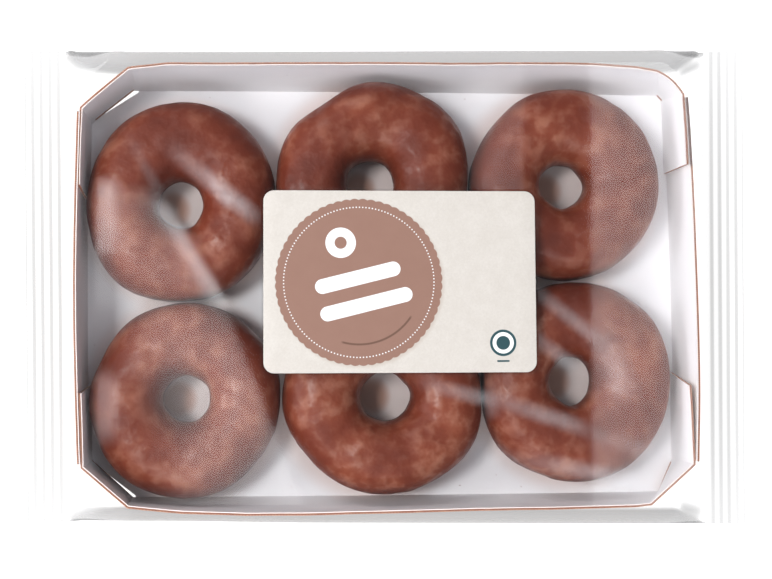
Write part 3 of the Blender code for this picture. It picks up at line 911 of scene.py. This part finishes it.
def crease_glare(x, y, start, end, width, strength):
    """A soft milky line of painted glare from start to end (mm), strongest from 0.65 to 0.75 of its
    length.
    """
    length = math.dist(start, end)
    ux, uy = (end[0] - start[0]) / length, (end[1] - start[1]) / length
    along = (x - start[0]) * ux + (y - start[1]) * uy
    across = abs((y - start[1]) * ux - (x - start[0]) * uy)
    body = along.fade(0.0, 0.65 * length) * along.fade(length, 0.75 * length)
    return body * (1 - across.fade(0.0, width)) * strength


def label_shadow_reach(finish, x, y):
    """1 at the label's outline, and 0 from a little way outside it: how far the shadow painted on
    the film round the label reaches.
    """
    half_x, half_y = (size / MM / 2 - LABEL_CORNER / MM for size in LABEL_SIZE)
    over_x = (abs(x - LABEL_CENTRE[0] / MM) - half_x).larger(0.0)
    over_y = (abs(y - LABEL_CENTRE[1] / MM) - half_y).larger(0.0)
    return 1 - (finish.length(over_x, over_y) - LABEL_CORNER / MM).fade(0.0, 1.3)


def film_finish():
    """Clear film: almost nothing where it is taut, milky where it is creased, with painted glare
    along those lines, a dark grey cover of painted shade down its long sides where they are seen
    slantwise, a painted shadow round the label, a faint milky strip of painted light along the far
    shoulder, and grey ribs in the crimps. Its cover is how much of what is behind it that hides.
    Its sheen is the share of light that it throws back, by Schlick's formula: gloss + (1 - gloss) *
    slant^5. The alpha is the two together, and the sheen's part of it is metallic, so that it
    mirrors.
    """
    finish = Finish("clear_film")
    x, y, z = finish.place()
    half_length, half_width = WRAP_HALF_LENGTH / MM, WRAP_HALF_WIDTH / MM
    along = x / (1 + y * (WRAP_SPREAD_ACROSS / half_width))
    across = y / (1 + x * (WRAP_SPREAD_ALONG / half_length))
    rim = abs(across)
    end = abs(along)
    # Lines of painted glare, partly milky film where it is creased: start, end, width (mm) and
    # strength.
    crease_glare_lines = (
        ((-103, 63), (-56, 24), 6.0, 0.19), ((-84, 52), (-70, 30), 4.0, 0.08),
        ((-120, 72), (-99, 34), 4.0, 0.04), ((4, -42), (46, -53), 5.0, 0.12),
        ((28, -46), (88, -66), 5.5, 0.14), ((70, -62), (118, -76), 6.0, 0.06),
        ((54, 2), (92, -28), 5.0, 0.12), ((54, -19), (82, -40), 5.0, 0.12),
        ((40, -74), (108, -88), 6.0, 0.15), ((42, -36), (42, -62), 5.0, 0.06),
        ((84, -8), (104, -56), 10.0, 0.10),
    )
    # Painted glare along those lines, partly the film's own milkiness, mottled by noise and kept to
    # the top.
    crease_haze_and_glare = 0.0
    for line in crease_glare_lines:
        crease_haze_and_glare = crease_haze_and_glare + crease_glare(x, y, *line)
    crease_haze_and_glare = crease_haze_and_glare * (0.55 + finish.noise(5, 4, 0.7) * 0.9)
    top = z.fade(36.0, 41.0)
    crease_haze_and_glare = crease_haze_and_glare * top
    corner = along.fade(-116.0, -160.0).larger(along.fade(136.0, 160.0) * 0.4)
    far = across.fade(corner * 4.0 + 96.4, corner * 8.0 + 100.4)
    near = (0 - across).fade(corner * 4.0 + 94.6, corner * 8.0 + 100.6)
    turn = finish.surface_place()[1]
    far = far * (1 - turn.fade(0.228, 0.245))
    near = near * (1 - (1 - turn).fade(0.194, 0.208))
    ends = along.fade(-153.0, -137.0) * along.fade(158.0, 132.0)
    layer = finish.node("ShaderNodeLayerWeight", None, {"Blend": 0.5})
    slant = Value(finish, layer.outputs["Facing"])
    # Painted shade: a dark grey cover down the long sides, where they are seen slantwise.
    shade_band = (far * 0.94 + near * 0.92) * ends * slant.fade(0.15, 0.55)
    fold = along.fade(-127.0, -132.0) * along.fade(-141.0, -136.0)
    fold = fold * rim.fade(70.0, 80.0)
    crimp_start = half_length - CRIMP_WIDTH / MM
    crimp = end.fade(crimp_start - 1.0, crimp_start + 1.5)
    ribs = finish.math("COSINE", (CRIMP_OUTER_RIB / MM - end) * (math.tau * MM / CRIMP_PITCH))
    lines = ribs.fade(-0.5, 0.9) * end.fade(143.4, 144.4) * (1 - rim * rim * 0.00004)
    lines = lines.larger(end.fade(160.0, 160.8) * 0.7)
    veil = x.fade(141.0, 144.0) * (1 - x.fade(152.0, 154.0))
    # Painted shadow: a grey rim of cover on the film round the label.
    label_shadow = label_shadow_reach(finish, x, y)
    grey = (shade_band + lines + veil * 0.5 + label_shadow * 2).fade(0.0, 0.5)
    colour = finish.mix(grey, (246, 246, 248), (70, 70, 72))
    left = x.fade(0.0, -60.0)
    cover = crease_haze_and_glare + shade_band * (0.68 - crimp * 0.16) + crimp * 0.03 + lines * (0.18 + left * 0.05)
    cover = cover + veil * 0.05 + fold * (1 - shade_band) * 0.05
    # Painted light: a faint milky strip along the far shoulder, which lightens the far wall seen
    # under it.
    cover = cover + across.fade(82.0, 93.0) * top * 0.05
    cover = finish.math("MINIMUM", cover + label_shadow * 0.24 + 0.004, 0.9)
    fresnel = finish.math("POWER", slant, 5.0) * (1 - FILM_GLOSS) + FILM_GLOSS
    flat = top * (1 - rim.fade(96.0, 99.0)) * (1 - end.fade(131.0, 136.0))
    sheen = fresnel * (0.25 + flat * 0.75) * (1 - shade_band * 0.8) * (1 - crimp * 0.5)
    alpha = finish.math("MINIMUM", cover + sheen * (1 - cover), 1.0)
    finish.set(base_color=colour, alpha=alpha, metallic=sheen * (1 - cover) / alpha,
               roughness=0.30 - flat * 0.26 + crimp * 0.20)
    finish.bump(finish.noise(26, 3, 0.5), 1.2 * MM, 0.015)
    return finish.material


def paper_finish():
    """Cream label paper with a printed round badge of plain shapes and a small ring mark."""
    finish = Finish("label_paper")
    x, y, _ = finish.place()
    fibre = finish.noise(0.9, 4, 0.7)
    cloud = finish.noise(7, 3, 0.6)
    tone = (fibre * 0.6 + cloud * 0.4).fade(0.3, 0.75)
    paper = finish.mix(tone, (198, 191, 182), (209, 203, 195))

    def from_point(centre):
        return finish.length(x - centre[0], y - centre[1])

    def within(away, radius, soft=0.12):
        """1 closer than the radius, 0 beyond it."""
        return 1 - away.fade(radius - soft, radius + soft)

    def bar(centre, length, height, degrees):
        """1 inside a bar with round ends."""
        turn = math.radians(degrees)
        dx, dy = x - centre[0], y - centre[1]
        u = abs(dx * math.cos(turn) + dy * math.sin(turn))
        v = dy * math.cos(turn) - dx * math.sin(turn)
        beyond = (u - (length - height) / 2).larger(0.0)
        return within(finish.length(beyond, v), height / 2)

    badge_centre = (-15.6, -0.3)
    away = from_point(badge_centre)
    angle = finish.math("ARCTAN2", y - badge_centre[1], x - badge_centre[0])
    scallop = abs(finish.math("SINE", angle * 30.0))
    badge = 1 - (away - scallop * 0.55).fade(35.65, 35.95)
    shadow = within(from_point((badge_centre[0] + 0.7, badge_centre[1] - 0.7)), 36.4, 1.0)
    dots = finish.math("COSINE", angle * 145.0).fade(0.0, 0.8)
    dots = dots * (1 - abs(away - 32.6).fade(0.10, 0.40))
    colour = finish.mix(shadow * 0.45, paper, (176, 160, 146))
    brown = finish.mix(cloud, (139, 103, 88), (145, 109, 94))
    colour = finish.mix(badge, colour, brown)
    ring_away = from_point((-23.5, 16.8))
    white = dots.larger(within(ring_away, 6.6) * ring_away.fade(2.5, 2.8))
    for centre, length in (((-16.1, 1.6), 38.0), ((-12.4, -9.9), 41.0)):
        white = white.larger(bar(centre, length, 6.4, 14.0))
    colour = finish.mix(white, colour, (240, 240, 239))
    arc = (1 - abs(away - 27.0).fade(0.30, 0.55)) * abs(angle + 1.22).fade(0.66, 0.60)
    colour = finish.mix(arc * 0.85, colour, (95, 65, 50))
    mark_away = from_point((47.0, -26.8))
    disc = within(mark_away, 5.8)
    mark = (disc * mark_away.fade(4.5, 4.75)).larger(1 - mark_away.fade(2.9, 3.15))
    mark = mark.larger(bar((47.0, -34.7), 5.5, 0.8, 0.0))
    colour = finish.mix(disc, colour, (250, 249, 246))
    colour = finish.mix(mark, colour, (24, 66, 72))
    finish.set(base_color=colour, roughness=0.7)
    finish.bump(fibre, 0.06 * MM, 0.5)
    return finish.material


def table_finish():
    """A white table lit from below, so that it stays pale under the pack."""
    finish = Finish("pale_table")
    finish.set(base_color=(TABLE_GREY,) * 3, roughness=0.95, emission_color=(1.0, 1.0, 1.0),
               emission_strength=TABLE_GLOW)
    return finish.material


# ---------------- the stage

def studio_sky():
    """A soft dome: one level overhead and, lower down, one for each side."""
    sky = Sky("studio")
    x, y, z = sky.parts(sky.node("ShaderNodeTexCoord").outputs["Generated"])
    top = z.fade(0.45, 0.90)
    sides = 0.0
    for name, share in (("left", 0 - x), ("right", x), ("near", 0 - y), ("far", y)):
        sides = sides + SKY_LEVELS[name] * share.larger(0)
    sky.plug(sky.shader.inputs["Color"], SKY_COLOUR)
    sky.plug(sky.shader.inputs["Strength"], top * SKY_LEVELS["top"] + (1 - top) * sides)
    return sky.world


def add_lamp(name, place, size, power):
    """A soft rectangular lamp that faces the middle of the pack."""
    light = bpy.data.lights.new(name, "AREA")
    light.shape = "RECTANGLE"
    light.size, light.size_y = size
    light.energy = power
    lamp = add_object(name, light)
    lamp.location = place
    aim = Vector(LAMP_TARGET) - Vector(place)
    lamp.rotation_euler = aim.to_track_quat("-Z", "Y").to_euler()


def add_board(name, height, corners, level, soft):
    """A glowing board overhead, seen only as a mirror image in the film's flat top.

    corners are where that image lies on the film, in millimetres: near left, near right, far
    right and far left. A point p of the film mirrors eye + (p - eye) * (drop + rise) / drop,
    where drop is the eye's height above the film and rise the board's. soft is the share over
    which the glow fades in from its left, right, near and far side.
    """
    shares = np.linspace(0, 1, 9)
    u, v = np.meshgrid(shares, shares, indexing="ij")
    near_left, near_right, far_right, far_left = (np.array(corner) * MM for corner in corners)
    image = ((1 - u) * (1 - v))[..., None] * near_left + (u * (1 - v))[..., None] * near_right
    image = image + (u * v)[..., None] * far_right + ((1 - u) * v)[..., None] * far_left
    eye = np.array(CAMERA_PLACE)
    drop, rise = eye[2] - WRAP_HEIGHT, height - WRAP_HEIGHT
    plan = eye[:2] + (image - eye[:2]) * (drop + rise) / drop
    points = np.concatenate([plan, np.full_like(plan[..., :1], height)], axis=2)
    finish = Finish(name)
    across, away = finish.surface_place()
    glow = across.fade(0.0, soft[0]) * across.fade(1.0, 1.0 - soft[1])
    glow = glow * away.fade(0.0, soft[2]) * away.fade(1.0, 1.0 - soft[3])
    finish.set(base_color=(0.0, 0.0, 0.0), roughness=1.0, specular_ior_level=0.0, alpha=glow,
               emission_color=(1.0, 1.0, 1.0), emission_strength=level / FILM_GLOSS)
    shell = Shell()
    shell.grid(points, np.stack([u, v], axis=2))
    board = shell.make(name, [finish.material])
    board.visible_camera = False
    board.visible_shadow = False
    board.visible_diffuse = False


def make_stage():
    """The table, the sky, the lamps and the boards overhead."""
    mesh = bpy.data.meshes.new("table")
    corners = [(x * TABLE_HALF, y * TABLE_HALF, 0) for x, y in ((-1, -1), (1, -1), (1, 1), (-1, 1))]
    mesh.from_pydata(corners, [], [(0, 1, 2, 3)])
    mesh.materials.append(table_finish())
    table = add_object("table", mesh)
    table.location.z = -TABLE_DROP
    bpy.context.scene.world = studio_sky()
    for name, (place, size, power) in LAMPS.items():
        add_lamp(name, place, size, power)
    for index, (name, (corners, level, soft)) in enumerate(BOARDS.items()):
        add_board(f"glow_{name}", BOARD_HEIGHT - BOARD_STEP * index, corners, level, soft)
    bpy.context.scene.view_settings.view_transform = "Standard"


def make_camera():
    """The camera of the photo's place, by the fit of the tray's lines."""
    camera = bpy.data.cameras.new("camera")
    camera.lens = CAMERA_LENS
    camera.sensor_width = CAMERA_SENSOR
    camera.clip_start = 0.01
    turned = Matrix.Identity(3)
    for axis, degrees in CAMERA_TURNS:
        turned = turned @ Matrix.Rotation(math.radians(degrees), 3, axis)
    holder = add_object("camera", camera)
    holder.matrix_world = Matrix.Translation(CAMERA_PLACE) @ turned.to_4x4()
    bpy.context.scene.camera = holder


for number in range(1, 7):
    make_ring(number, glaze_finish(number))
make_tray([liner_finish(), edge_finish("cut_edge", 1.35, 0.25), kraft_finish(),
           edge_finish("open_flutes", 0.95, 0.9)])
make_film(film_finish())
make_label(paper_finish())
make_stage()
make_camera()
